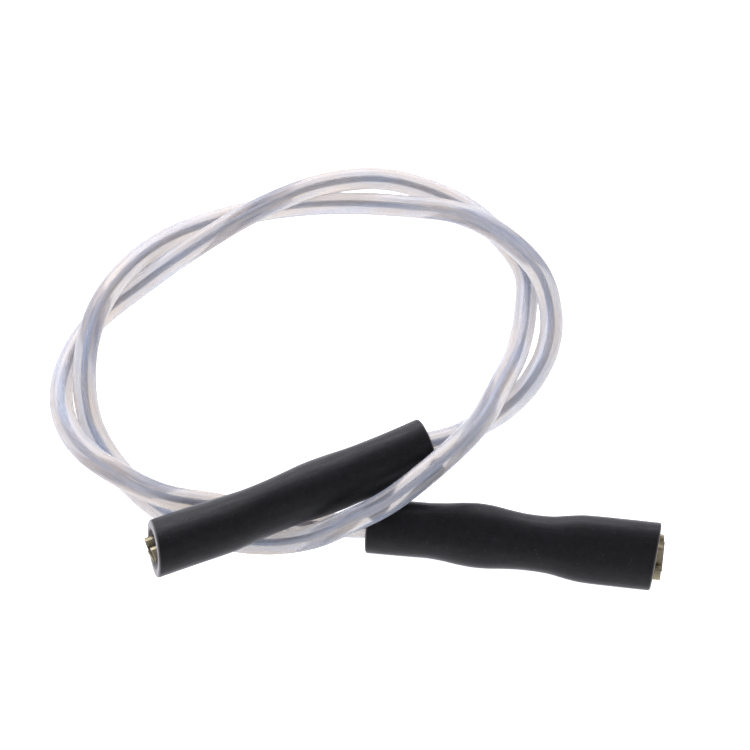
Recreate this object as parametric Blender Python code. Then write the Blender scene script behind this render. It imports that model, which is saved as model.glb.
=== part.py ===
"""High-voltage ignition lead: a silicone-insulated lead, lying in two loose turns, with a
brass 6.3 mm push-on receptacle crimped on each end and a black rubber sleeve over each one.

Frame: +Z up, the lead lies on z = 0, and the origin is under the middle of the two sleeved
ends. +X runs from the left sleeve to the right one. All dimensions below are millimetres.
"""

import math

import bpy
from mathutils import Matrix, Vector

MM = 0.001

# Lead
LEAD_DIAMETER = 4.1
CONDUCTOR_DIAMETER = 1.2
CONDUCTOR_GAP = 0.3
LEAD_POINTS = 80
LIFT = 0.05
LEAD_SIDES = 12

# Receptacle: distances from the sleeve's mouth, positive into the sleeve, before it sits deeper
STOCK = 0.4
TONGUE_AT = -0.9
RAIL_FROM, RAIL_TO = -0.7, 8.0
WIRE_BARREL_FROM, WIRE_BARREL_TO = 13.7, 19.7
CLASP_FROM, CLASP_TO = 25.0, 33.0
RAIL_FLOOR_HALF = 2.5
RAIL_CURL = 1.1
WIRE_BARREL_CURL = 1.05
CLASP_CURL = 2.55
SIDE_BEND = 80.0
RAIL_WRAP = 262.0
BARREL_WRAP = 163.0

# Where the stripped conductor and the insulation begin inside the receptacle
CONDUCTOR_FROM = 13.2
INSULATION_FROM = 24.2

# Sleeve: (distance from the mouth, half width on the broad side, half width on the narrow side)
SLEEVE_OUTSIDE = (
    (0.0, 5.66, 4.52),
    (6.0, 5.66, 4.54),
    (12.0, 5.58, 4.52),
    (14.5, 5.26, 4.42),
    (17.5, 4.76, 4.32),
    (21.5, 4.68, 4.34),
    (24.5, 4.92, 4.44),
    (27.5, 5.28, 4.64),
    (30.0, 5.36, 4.70),
    (32.5, 5.17, 4.68),
    (35.0, 4.83, 4.60),
    (37.5, 4.62, 4.58),
)
SLEEVE_BORE = (
    (0.0, 4.15, 3.10),
    (14.6, 4.15, 3.10),
    (16.2, 3.35, 3.15),
    (39.6, 3.35, 3.15),
    (41.2, 3.00, 3.00),
)
SLEEVE_SIDES = 28
RIM_RADIUS = 0.3

# Each end: the middle of the sleeve's mouth, the compass bearing and rise of the way out of
# it, the turn of the receptacle about that way, the sleeve's cut length, how far the cut at the
# mouth leans along the broad and the narrow side, how much deeper the receptacle sits, and how
# far the sleeve's outside is pushed off its axis (distance in, broad way, narrow way).
ENDS = {
    "left": {
        "mouth": (-40.98, -8.90, 8.38),
        "bearing": 202.74,
        "rise": -4.4,
        "roll": 34.0,
        "length": 48.9,
        "lean": (0.03, -0.25),
        "sit": 0.15,
        "bow": (
            (0.0, 0.0, 0.0),
            (6.0, 0.06, -0.19),
            (12.0, 0.15, -0.44),
            (15.0, 0.16, -0.48),
            (20.0, 0.14, -0.42),
            (25.0, 0.10, -0.29),
            (32.0, 0.11, -0.34),
            (38.0, 0.12, -0.36),
            (44.0, 0.08, -0.23),
            (48.9, 0.0, 0.0),
        ),
    },
    "right": {
        "mouth": (41.48, -8.12, 5.18),
        "bearing": -8.0,
        "rise": 0.4,
        "roll": 43.0,
        "length": 47.8,
        "lean": (0.075, 0.0),
        "sit": -0.35,
        "bow": (
            (0.0, 0.0, 0.0),
            (14.0, 0.0, 0.0),
            (21.0, 0.08, 0.0),
            (28.0, 0.27, 0.0),
            (36.0, 0.27, 0.0),
            (42.0, 0.12, 0.0),
            (47.8, 0.0, 0.0),
        ),
    },
}

# The lead's free route, from the left sleeve to the right one: two turns that cross
# themselves in low humps and pass under the left sleeve and over the right one's tail.
ROUTE = (
    (8.7, 13.2, 10.0),
    (13.4, 19.4, 6.0),
    (18.0, 25.4, 2.9),
    (22.2, 31.2, 2.1),
    (25.7, 38.6, 2.1),
    (26.9, 46.1, 3.2),
    (25.1, 53.9, 5.9),
    (19.0, 62.2, 6.9),
    (10.9, 69.3, 5.8),
    (0.8, 73.7, 3.2),
    (-11.2, 75.5, 2.1),
    (-24.2, 74.1, 2.1),
    (-35.5, 70.2, 2.4),
    (-44.1, 63.2, 4.3),
    (-50.3, 53.7, 6.3),
    (-54.3, 43.7, 6.6),
    (-55.6, 32.7, 5.4),
    (-53.9, 21.9, 3.0),
    (-47.9, 11.5, 2.1),
    (-39.8, 3.2, 2.1),
    (-30.6, -1.8, 2.1),
    (-22.5, -3.2, 2.4),
    (-15.3, -4.2, 5.3),
    (-9.1, -5.1, 10.7),
    (-2.9, -3.6, 13.8),
    (3.5, 1.0, 15.6),
    (9.1, 7.6, 15.0),
    (13.3, 15.6, 11.9),
    (16.6, 25.2, 8.3),
    (20.4, 37.4, 3.9),
    (22.3, 47.7, 2.1),
    (22.7, 57.7, 2.1),
    (18.3, 67.2, 2.1),
    (9.9, 76.2, 2.1),
    (-2.2, 79.7, 4.1),
    (-13.8, 76.6, 6.2),
    (-25.9, 70.0, 6.5),
    (-37.4, 62.1, 4.9),
    (-47.1, 54.9, 2.4),
    (-55.1, 45.9, 2.1),
    (-59.2, 35.1, 2.4),
    (-58.9, 23.7, 4.2),
    (-54.5, 13.9, 6.1),
    (-47.1, 7.1, 7.0),
    (-39.9, 2.7, 7.4),
    (-30.0, 3.0, 4.1),
    (-20.1, 1.4, 2.2),
    (-12.7, -0.1, 3.1),
)


def clear_scene():
    for thing in list(bpy.data.objects):
        bpy.data.objects.remove(thing, do_unlink=True)


def material(name, colour, roughness, metallic=0.0):
    made = bpy.data.materials.new(name)
    made.use_nodes = True
    shader = made.node_tree.nodes["Principled BSDF"]
    shader.inputs["Base Color"].default_value = (*colour, 1.0)
    shader.inputs["Roughness"].default_value = roughness
    shader.inputs["Metallic"].default_value = metallic
    made.diffuse_color = (*colour, 1.0)
    return made


def add_object(name, data, finish, parent=None):
    thing = bpy.data.objects.new(name, data)
    data.materials.append(finish)
    bpy.context.scene.collection.objects.link(thing)
    thing.parent = parent
    return thing


def mesh_from(name, points, faces):
    mesh = bpy.data.meshes.new(name)
    mesh.from_pydata([Vector(p) * MM for p in points], [], faces)
    mesh.validate()
    mesh.shade_smooth()
    mesh.set_sharp_from_angle(angle=math.radians(40.0))
    return mesh


def end_frame(end):
    """Local X runs out of the mouth, Y along the receptacle's broad side."""
    bearing, rise = math.radians(end["bearing"]), math.radians(end["rise"])
    out = Vector(
        (
            math.cos(bearing) * math.cos(rise),
            math.sin(bearing) * math.cos(rise),
            math.sin(rise),
        )
    )
    level = Vector((0.0, 0.0, 1.0)).cross(out).normalized()
    broad = Matrix.Rotation(math.radians(end["roll"]), 3, out) @ level
    turn = Matrix((out, broad, out.cross(broad))).transposed().to_4x4()
    return Matrix.Translation(Vector(end["mouth"]) * MM) @ turn


def point_inside(end, depth):
    """A point on an end's axis, this far in from the mouth, in millimetres."""
    frame = end_frame(end)
    return frame.translation / MM - frame.to_3x3().col[0] * depth


def crimp_point(end, depth):
    """The same, counted as the receptacle's own stations are."""
    return point_inside(end, depth + end["sit"])


def smooth_curve(points, count):
    """Evenly spaced points on a centripetal Catmull-Rom curve through the route's points."""
    through = [Vector(p) for p in points]
    through.insert(0, 2 * through[0] - through[1])
    through.append(2 * through[-1] - through[-2])
    steps = 24
    dense = []
    for a, b, c, d in zip(through, through[1:], through[2:], through[3:]):
        t1 = (b - a).length ** 0.5
        t2 = t1 + (c - b).length ** 0.5
        t3 = t2 + (d - c).length ** 0.5
        for step in range(steps):
            t = t1 + (t2 - t1) * step / steps
            ab = a.lerp(b, t / t1)
            bc = b.lerp(c, (t - t1) / (t2 - t1))
            cd = c.lerp(d, (t - t2) / (t3 - t2))
            abc = ab.lerp(bc, t / t2)
            bcd = bc.lerp(cd, (t - t1) / (t3 - t1))
            dense.append(abc.lerp(bcd, (t - t1) / (t2 - t1)))
    dense.append(through[-2])
    travelled = [0.0]
    for here, there in zip(dense, dense[1:]):
        travelled.append(travelled[-1] + (there - here).length)
    even, at = [], 0
    for number in range(count):
        wanted = travelled[-1] * number / (count - 1)
        while at < len(dense) - 2 and travelled[at + 1] < wanted:
            at += 1
        share = (wanted - travelled[at]) / (travelled[at + 1] - travelled[at])
        even.append(dense[at].lerp(dense[at + 1], share))
    return even


def lead_route():
    left, right = ENDS["left"], ENDS["right"]
    start = [crimp_point(left, INSULATION_FROM), crimp_point(left, CLASP_TO)]
    start += [point_inside(left, left["length"] - back) for back in (8.0, 1.4)]
    finish = [point_inside(right, right["length"] - back) for back in (1.4, 8.0)]
    finish += [crimp_point(right, CLASP_TO), crimp_point(right, INSULATION_FROM)]
    route = smooth_curve(start + list(ROUTE) + finish, LEAD_POINTS)
    for place in route:
        place.z = max(place.z, LEAD_DIAMETER / 2 + LIFT)
    return route


def rings_along(points, radius, sides):
    """Circles across a path, each square to the way the path runs there."""
    rings = []
    last = len(points) - 1
    for number, middle in enumerate(points):
        way = points[min(number + 1, last)] - points[max(number - 1, 0)]
        side = way.cross(Vector((0.0, 0.0, 1.0))).normalized()
        up = side.cross(way).normalized()
        turns = (2 * math.pi * k / sides for k in range(sides))
        rings.append(
            [middle + radius * (math.cos(a) * side + math.sin(a) * up) for a in turns]
        )
    return rings


def closed_loft(name, rings):
    """A ring-shaped body: each ring is joined to the next, and the last to the first."""
    sides = len(rings[0])
    points = [p for ring in rings for p in ring]
    faces = []
    for number in range(len(rings)):
        here, there = number * sides, (number + 1) % len(rings) * sides
        for k in range(sides):
            nxt = (k + 1) % sides
            faces.append((here + nxt, here + k, there + k, there + nxt))
    return mesh_from(name, points, faces)


def make_insulation(route, finish):
    bore = CONDUCTOR_DIAMETER / 2 + CONDUCTOR_GAP
    outside = rings_along(route, LEAD_DIAMETER / 2, LEAD_SIDES)
    inside = rings_along(route, bore, LEAD_SIDES)
    mesh = closed_loft("lead_insulation", outside + inside[::-1])
    return add_object("lead_insulation", mesh, finish)


def make_conductor(route, finish):
    """One stranded core, which runs on past the insulation into both wire barrels."""
    path = [crimp_point(ENDS["left"], CONDUCTOR_FROM)] + route
    path.append(crimp_point(ENDS["right"], CONDUCTOR_FROM))
    curve = bpy.data.curves.new("lead_conductor", "CURVE")
    curve.dimensions = "3D"
    curve.bevel_depth = CONDUCTOR_DIAMETER / 2 * MM
    curve.bevel_resolution = 2
    curve.use_fill_caps = True
    spline = curve.splines.new("POLY")
    spline.points.add(len(path) - 1)
    for point, place in zip(spline.points, path):
        point.co = (*(place * MM), 1.0)
    return add_object("lead_conductor", curve, finish)


def strip_point(floor_half, drop, curl, angle):
    """A point of the formed strip, seen along the receptacle: flat floor, then a round curl."""
    turn = math.radians(angle)
    return floor_half + curl * math.sin(turn), curl * (1.0 - math.cos(turn)) - drop


def receptacle_rows():
    """(distance in, floor half width, drop of the floor, curl radius, wing's wrap or 0)."""
    drop = RAIL_CURL
    return (
        (TONGUE_AT, RAIL_FLOOR_HALF, drop, RAIL_CURL, None),
        (RAIL_FROM, RAIL_FLOOR_HALF, drop, RAIL_CURL, RAIL_WRAP),
        (RAIL_TO, RAIL_FLOOR_HALF, drop, RAIL_CURL, 0.0),
        (RAIL_TO + 2.6, 1.30, drop, RAIL_CURL, 0.0),
        (RAIL_TO + 4.4, 0.50, drop, WIRE_BARREL_CURL, 0.0),
        (WIRE_BARREL_FROM, 0.12, drop, WIRE_BARREL_CURL, BARREL_WRAP),
        (WIRE_BARREL_TO, 0.12, drop, WIRE_BARREL_CURL, 0.0),
        (WIRE_BARREL_TO + 1.3, 0.45, 1.25, 1.20, 0.0),
        (CLASP_FROM - 1.7, 0.35, CLASP_CURL - 0.05, CLASP_CURL - 0.1, 0.0),
        (CLASP_FROM, 0.25, CLASP_CURL, CLASP_CURL, BARREL_WRAP),
        (CLASP_TO, 0.25, CLASP_CURL, CLASP_CURL, 0.0),
    )


def receptacle_mesh(name):
    """The stamped strip's middle surface. Wings stand only between the rows that wrap."""
    bend_steps, wing_steps = 4, 8
    rows = receptacle_rows()
    points, index, faces = [], {}, []

    def corner(row, column, wrap):
        """Column 0 is the middle; the bend and then the wing follow on each side."""
        depth, floor_half, drop, curl, _ = rows[row]
        side = 1 if column >= 0 else -1
        step = abs(column)
        if step == 0:
            across, height = 0.0, -drop
        elif step <= bend_steps + 1:
            angle = SIDE_BEND * (step - 1) / bend_steps
            across, height = strip_point(floor_half, drop, curl, angle)
        else:
            share = (step - bend_steps - 1) / wing_steps
            angle = SIDE_BEND + (wrap - SIDE_BEND) * share
            across, height = strip_point(floor_half, drop, curl, angle)
        key = (row, column)
        if key not in index:
            index[key] = len(points)
            points.append((-depth, side * across, height))
        return index[key]

    for row in range(len(rows) - 1):
        wrap = rows[row][4]
        reach = 1
        if wrap is not None:
            reach = bend_steps + 1 + (wing_steps if wrap else 0)
        for column in range(-reach, reach):
            faces.append(
                (
                    corner(row, column, wrap),
                    corner(row, column + 1, wrap),
                    corner(row + 1, column + 1, wrap),
                    corner(row + 1, column, wrap),
                )
            )
    return mesh_from(name, points, faces)


def make_receptacle(side, end, frame, finish):
    name = side + "_receptacle"
    thing = add_object(name, receptacle_mesh(name), finish, frame)
    thing.location.x = -end["sit"] * MM
    stock = thing.modifiers.new("stock", "SOLIDIFY")
    stock.thickness = STOCK * MM
    stock.offset = 0.0
    stock.use_even_offset = True
    return thing


def pushed_off(end, depth):
    """How far the outside is off the axis here, along the broad and the narrow side."""
    for near, far in zip(end["bow"], end["bow"][1:]):
        if depth <= far[0]:
            share = (depth - near[0]) / (far[0] - near[0])
            return tuple(near[k] + share * (far[k] - near[k]) for k in (1, 2))
    return (0.0, 0.0)


def oval(depth, half_broad, half_narrow, lean, off=(0.0, 0.0)):
    """An oval ring of a sleeve, at this distance from the mouth."""
    ring = []
    for k in range(SLEEVE_SIDES):
        turn = 2 * math.pi * k / SLEEVE_SIDES
        y, z = half_broad * math.cos(turn), half_narrow * math.sin(turn)
        ring.append((lean[0] * y + lean[1] * z - depth, y + off[0], z + off[1]))
    return ring


def sleeve_rings(end):
    """Outside from mouth to tail, then the bore back to the mouth, with rounded rims."""
    length, lean, level = end["length"], end["lean"], (0.0, 0.0)
    _, mouth_broad, mouth_narrow = SLEEVE_OUTSIDE[0]
    _, tail_broad, tail_narrow = SLEEVE_OUTSIDE[-1]
    rim = RIM_RADIUS
    rings = [oval(0.0, mouth_broad - rim, mouth_narrow - rim, lean)]
    rings.append(oval(0.3 * rim, mouth_broad - 0.3 * rim, mouth_narrow - 0.3 * rim, lean))
    rings.append(oval(rim, mouth_broad, mouth_narrow, lean))
    for station in SLEEVE_OUTSIDE[1:]:
        rings.append(oval(*station, level, pushed_off(end, station[0])))
    rings.append(oval(length - rim, tail_broad, tail_narrow, level))
    rings.append(
        oval(length - 0.3 * rim, tail_broad - 0.3 * rim, tail_narrow - 0.3 * rim, level)
    )
    rings.append(oval(length, tail_broad - rim, tail_narrow - rim, level))
    rings.append(oval(length, *SLEEVE_BORE[-1][1:], level))
    rings += [oval(*station, level) for station in SLEEVE_BORE[:0:-1]]
    rings.append(oval(*SLEEVE_BORE[0], lean))
    return rings


def make_sleeve(side, end, frame, finish):
    name = side + "_sleeve"
    return add_object(name, closed_loft(name, sleeve_rings(end)), finish, frame)


def main():
    clear_scene()
    silicone = material("silicone", (0.80, 0.79, 0.77), 0.35)
    strand = material("tinned_copper", (0.55, 0.58, 0.62), 0.35, 1.0)
    rubber = material("black_rubber", (0.018, 0.018, 0.020), 0.6)
    brass = material("brass", (0.60, 0.50, 0.26), 0.35, 1.0)

    route = lead_route()
    make_insulation(route, silicone)
    make_conductor(route, strand)
    for side, end in ENDS.items():
        frame = bpy.data.objects.new(side + "_end", None)
        bpy.context.scene.collection.objects.link(frame)
        frame.matrix_world = end_frame(end)
        make_receptacle(side, end, frame, brass)
        make_sleeve(side, end, frame, rubber)


main()
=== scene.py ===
"""The ignition lead's visual model: a milky silicone jacket over twisted strands, two soft
black rubber sleeves whose cut ends are painted pale as a painted reflection of the bright
surroundings, and a dull brass receptacle in each of them.

Lengths are millimetres until a mesh is made. The stage and the lights are in metres.
"""

import math

import bpy
from mathutils import Matrix, Vector


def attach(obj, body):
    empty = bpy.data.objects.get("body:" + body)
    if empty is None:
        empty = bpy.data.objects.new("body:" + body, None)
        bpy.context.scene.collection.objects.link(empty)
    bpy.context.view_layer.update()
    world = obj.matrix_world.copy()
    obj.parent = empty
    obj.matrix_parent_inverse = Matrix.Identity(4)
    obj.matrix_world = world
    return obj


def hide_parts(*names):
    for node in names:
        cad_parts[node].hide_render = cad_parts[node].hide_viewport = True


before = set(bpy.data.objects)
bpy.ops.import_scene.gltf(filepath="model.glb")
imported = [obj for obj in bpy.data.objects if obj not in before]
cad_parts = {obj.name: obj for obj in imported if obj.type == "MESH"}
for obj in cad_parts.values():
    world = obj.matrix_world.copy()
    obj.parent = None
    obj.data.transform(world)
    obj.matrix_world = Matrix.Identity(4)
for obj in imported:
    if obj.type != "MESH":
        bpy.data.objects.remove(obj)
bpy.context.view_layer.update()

MM = 0.001

# Camera: the point it looks at, its distance from there and its height in degrees. Its clip
# distances are in metres.
TARGET = (-4.74, 31.06, 5.0)
DISTANCE = 430.0
ELEVATION = 50.0
LENS = 118.03
SENSOR = 36.0
CLIP_NEAR, CLIP_FAR = 0.01, 10.0

# Lead: the jacket, the bundle of strands in it, and how finely the route's curve is cut
LEAD_DIAMETER = 4.1
LEAD_SIDES = 36
LEAD_STEP = 1.2
STRANDS = 12
STRAND_SIDES = 4
STRAND_LAY = 15.0
STRAND_STEP = 0.75
BUNDLE_RADIUS = 0.45
GROOVE_DEPTH = 0.13 * BUNDLE_RADIUS
CURVE_PARTS = 24

# Distances in from the receptacle's front: the conductor's end, the insulation's end and the
# back of the clasp. Then how far before the sleeve's tail the lead still lies in its middle.
CONDUCTOR_FROM = 13.2
INSULATION_FROM = 24.2
CLASP_TO = 33.0
TAIL_HOLDS = (8.0, 1.4)

# Sleeve: (distance from the mouth, half width on the broad side, half width on the narrow side)
SLEEVE_OUTSIDE = (
    (0.0, 5.66, 4.52),
    (6.0, 5.66, 4.54),
    (12.0, 5.58, 4.52),
    (14.5, 5.26, 4.42),
    (17.5, 4.76, 4.32),
    (21.5, 4.68, 4.34),
    (24.5, 4.92, 4.44),
    (27.5, 5.28, 4.64),
    (30.0, 5.36, 4.70),
    (32.5, 5.17, 4.68),
    (35.0, 4.83, 4.60),
    (37.5, 4.62, 4.58),
)
SLEEVE_BORE = (
    (0.0, 4.15, 3.10),
    (14.6, 4.15, 3.10),
    (16.2, 3.35, 3.15),
    (39.6, 3.35, 3.15),
    (41.2, 3.00, 3.00),
)
SLEEVE_SIDES = 96
SLEEVE_STEP = 0.6
LEAN_FADES_BY = 10.0

# A cut end: shares of the flat face from the bore to the rim, then the rim's turns in degrees
FACE_SHARES = (0.0, 0.33, 0.67)
RIM_TURNS = (0, 25, 50, 75, 90)
RIM_RADIUS = 0.35

# Receptacle
EDGE_WIDTH = 0.08
EDGE_SEGMENTS = 2

# Stage and lights: (name, place, width and depth, watts)
FLOOR_HALF = 3.0
FLOOR_DROP = 0.0002
LIGHTS = (
    ("back", (-0.12, 0.52, 0.30), (0.8, 0.3), 4.2),
    ("side", (-0.55, -0.10, 0.30), (0.3, 0.3), 0.6),
    ("front", (0.25, -0.50, 0.40), (0.4, 0.3), 0.5),
)
LIGHTS_AIM = (0.0, 0.03, 0.0)
LIGHT_COLOUR = (0.93, 0.92, 1.0)
WORLD_COLOUR = (0.97, 0.98, 1.0)
WORLD_STRENGTH = 0.5

# Each end: the middle of the sleeve's mouth, the compass bearing and rise of the way out of
# it, the turn of the receptacle about that way, the sleeve's cut length, how far the cut at the
# mouth leans along the broad and the narrow side, how much deeper the receptacle sits, and how
# far the sleeve's outside is pushed off its axis (distance in, broad way, narrow way).
ENDS = {
    "left": {
        "mouth": (-40.98, -8.90, 8.38),
        "bearing": 202.74,
        "rise": -4.4,
        "roll": 34.0,
        "length": 48.9,
        "lean": (0.03, -0.25),
        "sit": 0.15,
        "bow": (
            (0.0, 0.0, 0.0),
            (6.0, 0.06, -0.19),
            (12.0, 0.15, -0.44),
            (15.0, 0.16, -0.48),
            (20.0, 0.14, -0.42),
            (25.0, 0.10, -0.29),
            (32.0, 0.11, -0.34),
            (38.0, 0.12, -0.36),
            (44.0, 0.08, -0.23),
            (48.9, 0.0, 0.0),
        ),
    },
    "right": {
        "mouth": (41.48, -8.12, 5.18),
        "bearing": -8.0,
        "rise": 0.4,
        "roll": 43.0,
        "length": 47.8,
        "lean": (0.075, 0.0),
        "sit": -0.35,
        "bow": (
            (0.0, 0.0, 0.0),
            (14.0, 0.0, 0.0),
            (21.0, 0.08, 0.0),
            (28.0, 0.27, 0.0),
            (36.0, 0.27, 0.0),
            (42.0, 0.12, 0.0),
            (47.8, 0.0, 0.0),
        ),
    },
}

# The lead's free route, from the left sleeve to the right one: two turns that cross
# themselves in low humps and pass under the left sleeve and over the right one's tail.
ROUTE = (
    (8.7, 13.2, 10.0),
    (13.4, 19.4, 6.0),
    (18.0, 25.4, 2.9),
    (22.2, 31.2, 2.1),
    (25.7, 38.6, 2.1),
    (26.9, 46.1, 3.2),
    (25.1, 53.9, 5.9),
    (19.0, 62.2, 6.9),
    (10.9, 69.3, 5.8),
    (0.8, 73.7, 3.2),
    (-11.2, 75.5, 2.1),
    (-24.2, 74.1, 2.1),
    (-35.5, 70.2, 2.4),
    (-44.1, 63.2, 4.3),
    (-50.3, 53.7, 6.3),
    (-54.3, 43.7, 6.6),
    (-55.6, 32.7, 5.4),
    (-53.9, 21.9, 3.0),
    (-47.9, 11.5, 2.1),
    (-39.8, 3.2, 2.1),
    (-30.6, -1.8, 2.1),
    (-22.5, -3.2, 2.4),
    (-15.3, -4.2, 5.3),
    (-9.1, -5.1, 10.7),
    (-2.9, -3.6, 13.8),
    (3.5, 1.0, 15.6),
    (9.1, 7.6, 15.0),
    (13.3, 15.6, 11.9),
    (16.6, 25.2, 8.3),
    (20.4, 37.4, 3.9),
    (22.3, 47.7, 2.1),
    (22.7, 57.7, 2.1),
    (18.3, 67.2, 2.1),
    (9.9, 76.2, 2.1),
    (-2.2, 79.7, 4.1),
    (-13.8, 76.6, 6.2),
    (-25.9, 70.0, 6.5),
    (-37.4, 62.1, 4.9),
    (-47.1, 54.9, 2.4),
    (-55.1, 45.9, 2.1),
    (-59.2, 35.1, 2.4),
    (-58.9, 23.7, 4.2),
    (-54.5, 13.9, 6.1),
    (-47.1, 7.1, 7.0),
    (-39.9, 2.7, 7.4),
    (-30.0, 3.0, 4.1),
    (-20.1, 1.4, 2.2),
    (-12.7, -0.1, 3.1),
)


def make_camera():
    data = bpy.data.cameras.new("camera")
    data.lens, data.sensor_width = LENS, SENSOR
    data.clip_start, data.clip_end = CLIP_NEAR, CLIP_FAR
    camera = bpy.data.objects.new("camera", data)
    bpy.context.scene.collection.objects.link(camera)
    tilt = math.radians(ELEVATION)
    back = Vector((0.0, -math.cos(tilt), math.sin(tilt)))
    camera.location = (Vector(TARGET) + back * DISTANCE) * MM
    camera.rotation_euler = (math.pi / 2 - tilt, 0.0, 0.0)
    bpy.context.scene.camera = camera


def add_piece(name, mesh, material, body):
    piece = bpy.data.objects.new(name, mesh)
    mesh.materials.append(material)
    bpy.context.scene.collection.objects.link(piece)
    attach(piece, body)
    return piece


def mesh_from(name, points, faces):
    mesh = bpy.data.meshes.new(name)
    mesh.from_pydata([Vector(p) * MM for p in points], [], faces)
    mesh.shade_smooth()
    return mesh


def store_vectors(mesh, name, values):
    layer = mesh.attributes.new(name, "FLOAT_VECTOR", "POINT")
    layer.data.foreach_set("vector", [number for value in values for number in value])


def store_floats(mesh, name, values):
    mesh.attributes.new(name, "FLOAT", "POINT").data.foreach_set("value", values)


def band_faces(here, there, sides):
    """The faces between two rings, each given by the number of its first point."""
    faces = []
    for k in range(sides):
        nxt = (k + 1) % sides
        faces.append((here + nxt, here + k, there + k, there + nxt))
    return faces


def rod_faces(rings, sides):
    """A solid rod: its rings in order, and a flat face on each end."""
    faces = []
    for ring in range(rings - 1):
        faces += band_faces(ring * sides, (ring + 1) * sides, sides)
    last = (rings - 1) * sides
    faces.append(tuple(range(sides)))
    faces.append(tuple(reversed(range(last, last + sides))))
    return faces


def wall_faces(rings, sides):
    """A tube's wall: down the outside and back up the bore, so the last ring joins the first."""
    faces = []
    for ring in range(rings):
        faces += band_faces(ring * sides, (ring + 1) % rings * sides, sides)
    return faces


def end_frame(end):
    """Local X runs out of the mouth, Y along the receptacle's broad side."""
    bearing, rise = math.radians(end["bearing"]), math.radians(end["rise"])
    out = Vector(
        (
            math.cos(bearing) * math.cos(rise),
            math.sin(bearing) * math.cos(rise),
            math.sin(rise),
        )
    )
    level = Vector((0.0, 0.0, 1.0)).cross(out).normalized()
    broad = Matrix.Rotation(math.radians(end["roll"]), 3, out) @ level
    turn = Matrix((out, broad, out.cross(broad))).transposed().to_4x4()
    return Matrix.Translation(Vector(end["mouth"])) @ turn


def point_inside(end, depth):
    """The point on a sleeve's axis at a depth from its mouth."""
    placed = end_frame(end)
    return placed.translation - placed.to_3x3().col[0] * depth


def crimp_point(end, depth):
    """The point on the same axis at a depth from the receptacle's front."""
    return point_inside(end, depth + end["sit"])


def dense_curve(points):
    """A centripetal Catmull-Rom curve through the points."""
    through = [Vector(p) for p in points]
    through.insert(0, 2 * through[0] - through[1])
    through.append(2 * through[-1] - through[-2])
    dense = []
    for a, b, c, d in zip(through, through[1:], through[2:], through[3:]):
        t1 = (b - a).length ** 0.5
        t2 = t1 + (c - b).length ** 0.5
        t3 = t2 + (d - c).length ** 0.5
        for part in range(CURVE_PARTS):
            t = t1 + (t2 - t1) * part / CURVE_PARTS
            ab = a.lerp(b, t / t1)
            bc = b.lerp(c, (t - t1) / (t2 - t1))
            cd = c.lerp(d, (t - t2) / (t3 - t2))
            abc = ab.lerp(bc, t / t2)
            bcd = bc.lerp(cd, (t - t1) / (t3 - t1))
            dense.append(abc.lerp(bcd, (t - t1) / (t2 - t1)))
    dense.append(through[-2])
    return dense


def evenly_spaced(line, step):
    """Points along a line of points, as near to a step apart as makes a whole number."""
    travelled = [0.0]
    for here, there in zip(line, line[1:]):
        travelled.append(travelled[-1] + (there - here).length)
    count = round(travelled[-1] / step)
    even = []
    at = 0
    for number in range(count + 1):
        wanted = travelled[-1] * number / count
        while at < len(line) - 2 and travelled[at + 1] < wanted:
            at += 1
        share = (wanted - travelled[at]) / (travelled[at + 1] - travelled[at])
        even.append(line[at].lerp(line[at + 1], share))
    return even


def lead_points(step, depth):
    """The lead's middle line, between the points at a depth in the two receptacles."""
    left, right = ENDS["left"], ENDS["right"]
    start = [crimp_point(left, depth), crimp_point(left, CLASP_TO)]
    start += [point_inside(left, left["length"] - back) for back in TAIL_HOLDS]
    finish = [point_inside(right, right["length"] - back) for back in reversed(TAIL_HOLDS)]
    finish += [crimp_point(right, CLASP_TO), crimp_point(right, depth)]
    path = evenly_spaced(dense_curve(start + list(ROUTE) + finish), step)
    for place in path:
        place.z = max(place.z, LEAD_DIAMETER / 2)
    return path


def frames_along(path):
    """(point, side, up) at each point, carried along the path with no twist of its own."""
    ways = []
    for number in range(len(path)):
        before, after = path[max(number - 1, 0)], path[min(number + 1, len(path) - 1)]
        ways.append((after - before).normalized())
    side = ways[0].cross(Vector((0.0, 0.0, 1.0))).normalized()
    frames = []
    for point, way in zip(path, ways):
        side = (side - way * side.dot(way)).normalized()
        frames.append((point, side, side.cross(way)))
    return frames


def make_jacket(material):
    path = lead_points(LEAD_STEP, INSULATION_FROM)
    points, grain = [], []
    for number, (middle, side, up) in enumerate(frames_along(path)):
        for k in range(LEAD_SIDES):
            turn = 2 * math.pi * k / LEAD_SIDES
            x, y = math.cos(turn), math.sin(turn)
            points.append(middle + LEAD_DIAMETER / 2 * (x * side + y * up))
            grain.append((x, y, number * LEAD_STEP))
    mesh = mesh_from("lead_jacket", points, rod_faces(len(path), LEAD_SIDES))
    store_vectors(mesh, "grain", grain)
    jacket = add_piece("lead_jacket", mesh, material, "lead")
    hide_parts("lead_insulation")
    return jacket, path


def make_strands(material):
    """The conductor's outer strands: a lobed bundle whose lobes follow the lay."""
    path = lead_points(STRAND_STEP, CONDUCTOR_FROM)
    sides = STRANDS * STRAND_SIDES
    points, where = [], []
    for number, (middle, side, up) in enumerate(frames_along(path)):
        twist = 2 * math.pi * number * STRAND_STEP / STRAND_LAY
        for k in range(sides):
            turn = 2 * math.pi * k / sides + twist
            groove = 1 - abs(math.sin(math.pi * k / STRAND_SIDES))
            reach = BUNDLE_RADIUS - GROOVE_DEPTH * groove
            points.append(middle + reach * (math.cos(turn) * side + math.sin(turn) * up))
            where.append((k / STRAND_SIDES % 1.0, k // STRAND_SIDES, number * STRAND_STEP))
    mesh = mesh_from("lead_strands", points, rod_faces(len(path), sides))
    store_vectors(mesh, "strand", where)
    strands = add_piece("lead_strands", mesh, material, "lead")
    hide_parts("lead_conductor")
    return strands


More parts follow.
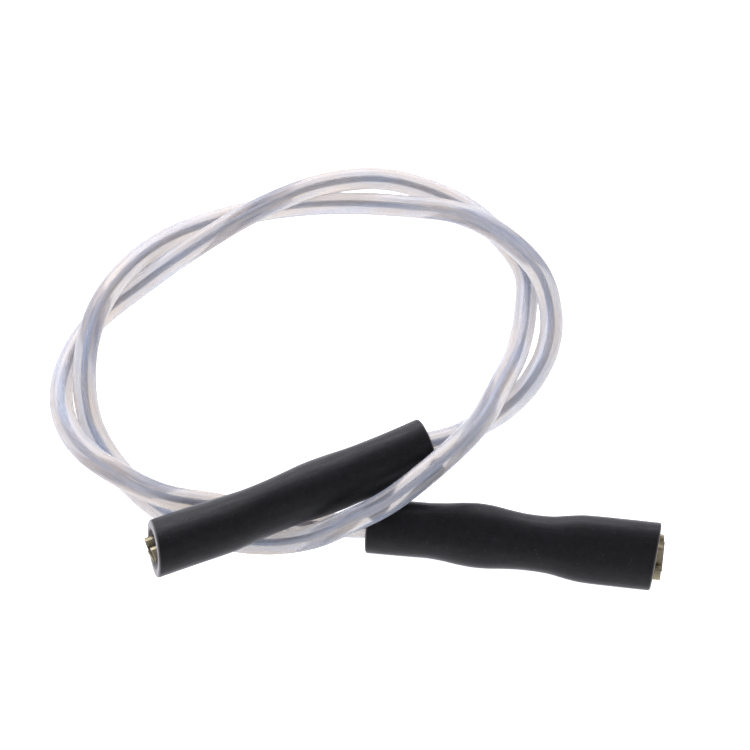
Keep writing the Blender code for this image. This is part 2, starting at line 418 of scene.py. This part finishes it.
def eased(table, depth):
    """The pair of values at a depth, on a smooth curve through the table's rows."""
    if depth >= table[-1][0]:
        return table[-1][1:]
    row = max(k for k in range(len(table) - 1) if table[k][0] <= depth)
    near, far = table[row], table[row + 1]
    before, after = table[max(row - 1, 0)], table[min(row + 2, len(table) - 1)]
    span = far[0] - near[0]
    t = (depth - near[0]) / span
    values = []
    for axis in (1, 2):
        slope_near = (far[axis] - before[axis]) / (far[0] - before[0]) * span
        slope_far = (after[axis] - near[axis]) / (after[0] - near[0]) * span
        values.append(
            (2 * t**3 - 3 * t**2 + 1) * near[axis]
            + (t**3 - 2 * t**2 + t) * slope_near
            + (3 * t**2 - 2 * t**3) * far[axis]
            + (t**3 - t**2) * slope_far
        )
    return values


def cut_end(outside, bore, depth, inward):
    """The rows of one cut end, from the bore's edge out to the full width past the rim."""
    broad, narrow = outside
    inner_broad, inner_narrow = bore
    rows = []
    for share in FACE_SHARES:
        rows.append(
            (
                depth,
                inner_broad + share * (broad - RIM_RADIUS - inner_broad),
                inner_narrow + share * (narrow - RIM_RADIUS - inner_narrow),
                1.0,
            )
        )
    for turn in RIM_TURNS:
        angle = math.radians(turn)
        inset = RIM_RADIUS * (1 - math.sin(angle))
        along = inward * RIM_RADIUS * (1 - math.cos(angle))
        rows.append((depth + along, broad - inset, narrow - inset, 1.0 - turn / 90))
    return rows


def sleeve_rows(length):
    """(depth, broad half width, narrow half width, share of cut face), outside and in the bore."""
    outside = cut_end(SLEEVE_OUTSIDE[0][1:], SLEEVE_BORE[0][1:], 0.0, 1)
    count = round(length / SLEEVE_STEP)
    for number in range(1, count):
        depth = length * number / count
        outside.append((depth, *eased(SLEEVE_OUTSIDE, depth), 0.0))
    outside += reversed(cut_end(SLEEVE_OUTSIDE[-1][1:], SLEEVE_BORE[-1][1:], length, -1))
    bore = [(*station, 0.0) for station in SLEEVE_BORE[:0:-1]]
    return outside, bore


def make_sleeve(side, material):
    end = ENDS[side]
    placed = end_frame(end)
    lean_broad, lean_narrow = end["lean"]
    outside, bore = sleeve_rows(end["length"])
    points, grain, cut = [], [], []
    for number, (depth, broad, narrow, is_cut) in enumerate(outside + bore):
        bow = eased(end["bow"], depth) if number < len(outside) else (0.0, 0.0)
        keep = max(0.0, 1.0 - depth / LEAN_FADES_BY)
        for k in range(SLEEVE_SIDES):
            turn = 2 * math.pi * k / SLEEVE_SIDES
            y, z = broad * math.cos(turn), narrow * math.sin(turn)
            x = keep * (lean_broad * y + lean_narrow * z) - depth
            points.append(placed @ Vector((x, y + bow[0], z + bow[1])))
            grain.append((math.cos(turn), math.sin(turn), depth))
            cut.append(is_cut)
    name = side + "_rubber"
    mesh = mesh_from(name, points, wall_faces(len(outside + bore), SLEEVE_SIDES))
    store_vectors(mesh, "grain", grain)
    store_floats(mesh, "cut", cut)
    piece = add_piece(name, mesh, material, side + "_sleeve")
    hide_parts(side + "_sleeve")


class Shader:
    """A material with its Principled shader, and short ways to add and join nodes."""

    def __init__(self, name, **values):
        self.material = bpy.data.materials.new(name)
        self.material.use_nodes = True
        self.tree = self.material.node_tree
        self.principled = self.tree.nodes["Principled BSDF"]
        self.output = self.tree.nodes["Material Output"]
        self.set(self.principled, **values)

    def set(self, node, **values):
        for label, value in values.items():
            socket = node.inputs[label.replace("_", " ")]
            socket.default_value = (*value, 1.0) if isinstance(value, tuple) else value

    def add(self, kind, **settings):
        node = self.tree.nodes.new("ShaderNode" + kind)
        for label, value in settings.items():
            setattr(node, label, value)
        return node

    def join(self, source, target):
        self.tree.links.new(source, target)

    def attribute(self, name, output="Vector"):
        return self.add("Attribute", attribute_name=name).outputs[output]

    def stretched(self, source, scale):
        mapping = self.add("Mapping")
        mapping.inputs["Scale"].default_value = scale
        self.join(source, mapping.inputs["Vector"])
        return mapping.outputs["Vector"]

    def noise(self, source, scale, detail=3.0, roughness=0.55):
        node = self.add("TexNoise")
        node.inputs["Scale"].default_value = scale
        node.inputs["Detail"].default_value = detail
        node.inputs["Roughness"].default_value = roughness
        self.join(source, node.inputs["Vector"])
        return node.outputs["Fac"]

    def ramp(self, source, *stops):
        """A ramp between two stops, each with its place and a colour or a grey level."""
        node = self.add("ValToRGB")
        for element, (place, value) in zip(node.color_ramp.elements, stops):
            element.position = place
            element.color = (*value, 1.0) if isinstance(value, tuple) else (value,) * 3 + (1.0,)
        self.join(source, node.inputs["Fac"])
        return node.outputs["Color"]

    def blend(self, share, first, second):
        """A colour that varies, turned by a varying share into one that is the same all over."""
        node = self.add("Mix", data_type="RGBA")
        mix_share, mix_first, mix_second = (node.inputs[number] for number in (0, 6, 7))
        self.join(share, mix_share)
        self.join(first, mix_first)
        mix_second.default_value = (*second, 1.0)
        return node.outputs[2]

    def bump(self, height, strength, distance, under=None):
        node = self.add("Bump")
        node.inputs["Strength"].default_value = strength
        node.inputs["Distance"].default_value = distance * MM
        self.join(height, node.inputs["Height"])
        if under is not None:
            self.join(under, node.inputs["Normal"])
        return node.outputs["Normal"]


def silicone():
    """Clear silicone with milky lines along the lead, in faint cream and blue patches."""
    made = Shader("silicone", Roughness=0.22, IOR=1.30, Transmission_Weight=1.0)
    clear = made.principled
    milky = made.add("BsdfPrincipled")
    made.set(milky, Roughness=0.35, IOR=1.41)
    grain = made.attribute("grain")
    lines = made.noise(made.stretched(grain, (1.0, 1.0, 0.012)), 7.0, 4.0, 0.6)
    cloud = made.noise(made.stretched(grain, (1.0, 1.0, 0.05)), 1.2)
    tint = made.ramp(cloud, (0.3, (0.69, 0.59, 0.49)), (0.7, (0.68, 0.66, 0.65)))
    haze = made.ramp(cloud, (0.35, (0.66, 0.62, 0.61)), (0.65, (0.46, 0.56, 0.78)))
    made.join(tint, clear.inputs["Base Color"])
    made.join(haze, milky.inputs["Base Color"])
    normal = made.bump(lines, 0.2, 0.04)
    made.join(normal, clear.inputs["Normal"])
    made.join(normal, milky.inputs["Normal"])
    both = made.add("MixShader")
    made.join(made.ramp(lines, (0.3, 0.24), (0.7, 0.42)), both.inputs[0])
    made.join(clear.outputs[0], both.inputs[1])
    made.join(milky.outputs[0], both.inputs[2])
    made.join(both.outputs[0], made.output.inputs["Surface"])
    return made.material


def tinned_copper():
    """Pale blue-grey strands, each a little different from its neighbours."""
    made = Shader("tinned_copper", Metallic=0.1, Roughness=0.5)
    place = made.attribute("strand")
    apart = made.noise(made.stretched(place, (0.0, 7.3, 0.02)), 1.0, 1.0)
    worn = made.noise(made.stretched(place, (0.0, 3.0, 0.4)), 1.0, 3.0)
    colour = made.ramp(apart, (0.35, (0.60, 0.74, 0.98)), (0.65, (0.86, 0.93, 1.0)))
    made.join(made.blend(worn, colour, (0.72, 0.70, 0.76)), made.principled.inputs["Base Color"])
    return made.material


def black_rubber():
    """Soft black rubber: lines drawn along it, a fine mottle, dust specks, and cut faces painted
    greyer as a painted reflection of the bright surroundings.
    """
    made = Shader("black_rubber", Roughness=0.5, Specular_IOR_Level=0.2)
    made.set(made.principled, Sheen_Weight=0.4, Sheen_Roughness=0.32, Sheen_Tint=(0.86, 0.86, 1.0))
    place = made.add("TexCoord").outputs["Object"]
    drawn = made.noise(made.stretched(made.attribute("grain"), (1.0, 1.0, 0.03)), 7.0, 4.0, 0.6)
    mottle = made.noise(place, 900.0, 5.0, 0.65)
    specks = made.noise(place, 2600.0, 2.0, 0.5)
    base = made.ramp(mottle, (0.35, (0.0035, 0.0035, 0.0045)), (0.7, (0.008, 0.008, 0.011)))
    dust = made.ramp(specks, (0.68, 0.0), (0.78, 0.35))
    dusted = made.blend(dust, base, (0.10, 0.10, 0.11))
    # Painted reflection: the cut faces get a paler grey that stands for the bright surroundings
    # reflected at a grazing angle, not for a paler rubber.
    cut_face_painted_reflection = made.blend(made.attribute("cut", "Fac"), dusted, (0.20, 0.19, 0.185))
    made.join(cut_face_painted_reflection, made.principled.inputs["Base Color"])
    made.join(made.ramp(drawn, (0.3, 0.40), (0.7, 0.58)), made.principled.inputs["Roughness"])
    normal = made.bump(drawn, 0.35, 0.12)
    normal = made.bump(mottle, 0.25, 0.06, normal)
    made.join(normal, made.principled.inputs["Normal"])
    return made.material


def dull_brass():
    """Stamped brass, stained darker in places and finely scratched."""
    made = Shader("dull_brass", Metallic=1.0, Roughness=0.38)
    place = made.add("TexCoord").outputs["Object"]
    stain = made.noise(place, 700.0, 4.0, 0.6)
    scratch = made.noise(made.stretched(place, (1.0, 6.0, 6.0)), 900.0, 3.0)
    colour = made.ramp(stain, (0.3, (0.17, 0.15, 0.09)), (0.7, (0.33, 0.28, 0.20)))
    made.join(colour, made.principled.inputs["Base Color"])
    made.join(made.ramp(scratch, (0.3, 0.30), (0.7, 0.52)), made.principled.inputs["Roughness"])
    made.join(made.bump(scratch, 0.2, 0.03), made.principled.inputs["Normal"])
    return made.material


def repaint(node, material):
    """Gives a CAD node its material, and takes the sharpness off its edges."""
    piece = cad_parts[node]
    piece.data.materials.clear()
    piece.data.materials.append(material)
    edge = piece.modifiers.new("edge", "BEVEL")
    edge.width = EDGE_WIDTH * MM
    edge.segments = EDGE_SEGMENTS
    edge.limit_method = "ANGLE"


def make_stage():
    """A pale floor that gives off light of its own, so that it stays even and unshadowed."""
    half = FLOOR_HALF
    mesh = bpy.data.meshes.new("floor")
    corners = [(-half, -half, 0.0), (half, -half, 0.0), (half, half, 0.0), (-half, half, 0.0)]
    mesh.from_pydata(corners, [], [(0, 1, 2, 3)])
    floor = bpy.data.objects.new("floor", mesh)
    shade = Shader("pale_floor", Base_Color=(0.80, 0.80, 0.80), Roughness=0.9)
    shade.set(shade.principled, Emission_Color=(1.0, 1.0, 1.0), Emission_Strength=0.95)
    shade.set(shade.principled, Specular_IOR_Level=0.1)
    mesh.materials.append(shade.material)
    bpy.context.scene.collection.objects.link(floor)
    floor.location.z = -FLOOR_DROP


def make_lights():
    world = bpy.data.worlds.new("studio")
    world.use_nodes = True
    background = world.node_tree.nodes["Background"]
    background.inputs["Color"].default_value = (*WORLD_COLOUR, 1.0)
    background.inputs["Strength"].default_value = WORLD_STRENGTH
    bpy.context.scene.world = world
    for name, place, size, power in LIGHTS:
        light = bpy.data.lights.new(name, "AREA")
        light.shape = "RECTANGLE"
        light.size, light.size_y = size
        light.energy = power
        light.color = LIGHT_COLOUR
        lamp = bpy.data.objects.new(name, light)
        lamp.location = place
        aim = Vector(LIGHTS_AIM) - Vector(place)
        lamp.rotation_euler = aim.to_track_quat("-Z", "Y").to_euler()
        bpy.context.scene.collection.objects.link(lamp)


def main():
    bpy.context.scene.view_settings.view_transform = "Standard"
    make_camera()
    jacket, path = make_jacket(silicone())
    strands = make_strands(tinned_copper())
    rubber = black_rubber()
    brass = dull_brass()
    for side in ENDS:
        make_sleeve(side, rubber)
        repaint(side + "_receptacle", brass)
    make_stage()
    make_lights()


main()
